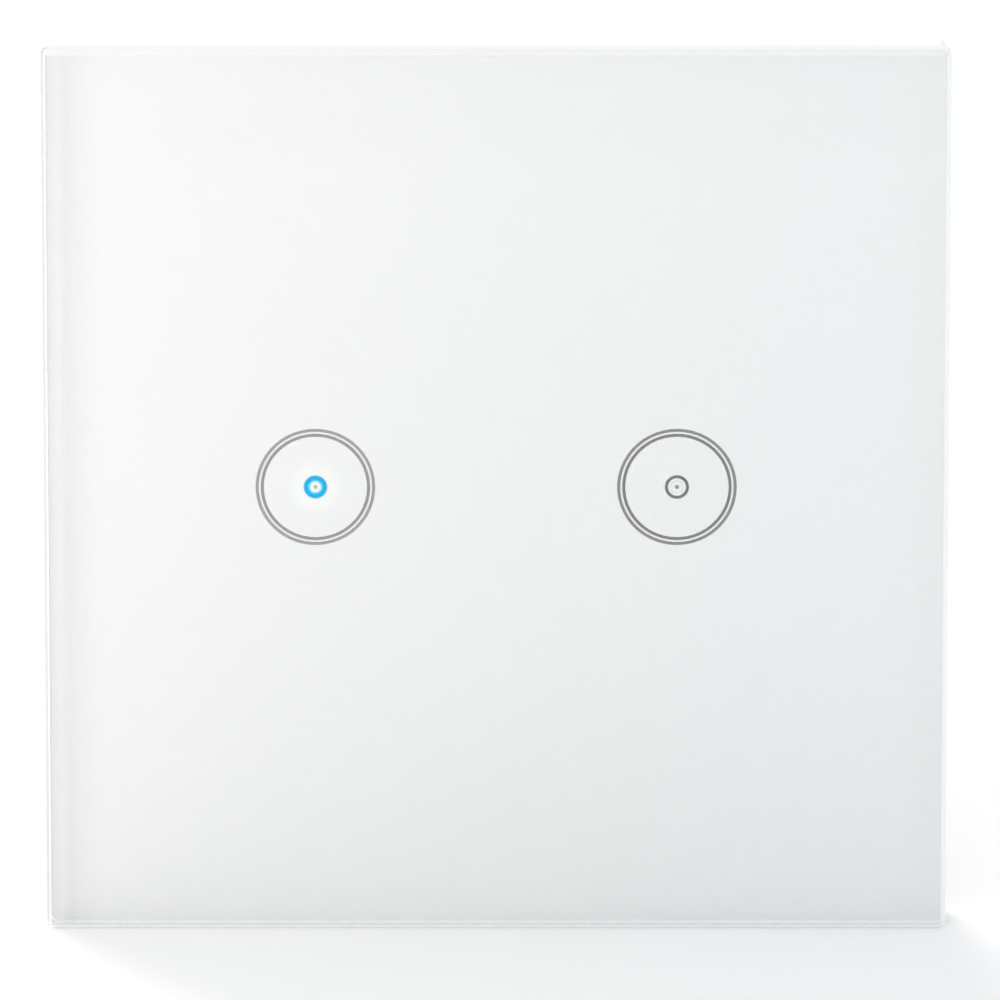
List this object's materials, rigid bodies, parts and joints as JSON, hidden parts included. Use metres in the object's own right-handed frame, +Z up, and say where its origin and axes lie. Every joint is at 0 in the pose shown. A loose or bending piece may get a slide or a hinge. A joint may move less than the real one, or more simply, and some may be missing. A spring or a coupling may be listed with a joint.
{
  "type": "smart light switch",
  "caption": "Square glass touch light switch for a round wall box: ring marks over sensing springs, clip-on touch unit, relay base with clamp terminals.",
  "frame": {"origin": "centre of the wall plane, midway between the box screws", "axes": "+X to the right and +Z up as seen from the room, +Y into the wall"},
  "size_m": [0.086, 0.033, 0.086],
  "materials": {
    "clear_glass": "polished",
    "white_print": "screen printed",
    "grey_print": "screen printed",
    "window_print": "translucent print",
    "tape": "foam tape",
    "white_plastic": "fine moulded",
    "touch_board_lacquer": "white solder mask",
    "power_board_lacquer": "green solder mask",
    "screw_steel": "zinc plated",
    "spring_steel": "plated wire",
    "lamp": "moulded lamp",
    "light_guide": "clear moulded",
    "black_plastic": "moulded",
    "shield_metal": "tinned sheet",
    "module_lacquer": "blue solder mask",
    "pin_metal": "gold flashed",
    "plate_steel": "zinc plated sheet",
    "housing_plastic": "flame retardant moulding",
    "terminal_plastic": "moulded",
    "contact_brass": "plated",
    "cage_metal": "nickel plated",
    "relay_plastic": "moulded",
    "bobbin_plastic": "moulded",
    "copper_wire": "enamelled copper",
    "soft_iron": "nickel plated",
    "contact_spring": "bronze strip on plated iron",
    "ferrite": "ground ferrite",
    "tape_yellow": "polyester tape",
    "capacitor_sleeve": "shrunk sleeve",
    "box_yellow": "potted box",
    "varistor_coat": "dipped coat",
    "resistor_coat": "fired coat"
  },
  "bodies": {
    "base": {"bridge_rectifier": "black_plastic", "bulk_capacitors": "capacitor_sleeve", "contact_bars": "contact_brass", "fuse_resistor": "resistor_coat", "housing_lid": "housing_plastic", "housing_screws": "screw_steel", "lid_screws": "screw_steel", "mounting_plate": "plate_steel", "power_board": "power_board_lacquer", "rear_housing": "housing_plastic", "relay_left_base": "black_plastic", "relay_left_bobbin": "bobbin_plastic", "relay_left_cover": "relay_plastic", "relay_left_fixed_contact": "contact_brass", "relay_left_winding": "copper_wire", "relay_left_yoke": "soft_iron", "relay_right_base": "black_plastic", "relay_right_bobbin": "bobbin_plastic", "relay_right_cover": "relay_plastic", "relay_right_fixed_contact": "contact_brass", "relay_right_winding": "copper_wire", "relay_right_yoke": "soft_iron", "socket_header": "black_plastic", "suppression_capacitor": "box_yellow", "terminal_block": "terminal_plastic", "transformer_core": "ferrite", "transformer_winding": "tape_yellow", "varistor": "varistor_coat"},
    "front_panel": {"glass_panel": "clear_glass", "panel_print": "white_print", "touch_ring_marks": "grey_print", "light_window_left": "window_print", "light_window_right": "window_print", "adhesive_frame": "tape", "panel_frame": "white_plastic", "touch_board": "touch_board_lacquer", "touch_board_screws": "screw_steel", "touch_spring_left": "spring_steel", "touch_spring_right": "spring_steel", "indicator_led_left": "lamp", "indicator_led_right": "lamp", "light_guide_left": "light_guide", "light_guide_right": "light_guide", "plug_header_strip": "black_plastic", "plug_header_pins": "pin_metal", "wifi_module_board": "module_lacquer", "wifi_module_shield": "shield_metal", "touch_controller_chip": "black_plastic"},
    "relay_left_armature": {"relay_left_armature": "contact_spring"},
    "relay_right_armature": {"relay_right_armature": "contact_spring"},
    "terminal_screw_1": {"terminal_screw_1": "screw_steel"},
    "terminal_cage_1": {"terminal_cage_1": "cage_metal"},
    "terminal_screw_2": {"terminal_screw_2": "screw_steel"},
    "terminal_cage_2": {"terminal_cage_2": "cage_metal"},
    "terminal_screw_3": {"terminal_screw_3": "screw_steel"},
    "terminal_cage_3": {"terminal_cage_3": "cage_metal"},
    "terminal_screw_4": {"terminal_screw_4": "screw_steel"},
    "terminal_cage_4": {"terminal_cage_4": "cage_metal"}
  },
  "joints": [
    {"name": "panel_pull", "type": "slide", "parent": "base", "child": "front_panel", "axis": [0, -1, 0], "range_m": [0, 0.02]},
    {"name": "relay_left_swing", "type": "hinge", "parent": "base", "child": "relay_left_armature", "pos_m": [-0.0165, 0.019, -0.0024], "axis": [1, 0, 0], "range_deg": [0, 3.3], "stiffness_Nm_per_rad": 0.002, "springref_deg": -5.73},
    {"name": "relay_right_swing", "type": "hinge", "parent": "base", "child": "relay_right_armature", "pos_m": [0.0165, 0.019, -0.0024], "axis": [1, 0, 0], "range_deg": [0, 3.3], "stiffness_Nm_per_rad": 0.002, "springref_deg": -5.73},
    {"name": "terminal_1_turn", "type": "hinge", "parent": "base", "child": "terminal_screw_1", "pos_m": [-0.0105, 0.0212, -0.0185], "axis": [0, -1, 0], "range_deg": [0, 1800]},
    {"name": "terminal_1_rise", "type": "slide", "parent": "base", "child": "terminal_cage_1", "axis": [0, 1, 0], "range_m": [0, 0.0025]},
    {"name": "terminal_2_turn", "type": "hinge", "parent": "base", "child": "terminal_screw_2", "pos_m": [-0.0035, 0.0212, -0.0185], "axis": [0, -1, 0], "range_deg": [0, 1800]},
    {"name": "terminal_2_rise", "type": "slide", "parent": "base", "child": "terminal_cage_2", "axis": [0, 1, 0], "range_m": [0, 0.0025]},
    {"name": "terminal_3_turn", "type": "hinge", "parent": "base", "child": "terminal_screw_3", "pos_m": [0.0035, 0.0212, -0.0185], "axis": [0, -1, 0], "range_deg": [0, 1800]},
    {"name": "terminal_3_rise", "type": "slide", "parent": "base", "child": "terminal_cage_3", "axis": [0, 1, 0], "range_m": [0, 0.0025]},
    {"name": "terminal_4_turn", "type": "hinge", "parent": "base", "child": "terminal_screw_4", "pos_m": [0.0105, 0.0212, -0.0185], "axis": [0, -1, 0], "range_deg": [0, 1800]},
    {"name": "terminal_4_rise", "type": "slide", "parent": "base", "child": "terminal_cage_4", "axis": [0, 1, 0], "range_m": [0, 0.0025]}
  ],
  "couplings": [
    {"joint": "terminal_1_turn", "follows": "terminal_1_rise", "rad_per_m": 12566},
    {"joint": "terminal_2_turn", "follows": "terminal_2_rise", "rad_per_m": 12566},
    {"joint": "terminal_3_turn", "follows": "terminal_3_rise", "rad_per_m": 12566},
    {"joint": "terminal_4_turn", "follows": "terminal_4_rise", "rad_per_m": 12566}
  ]
}
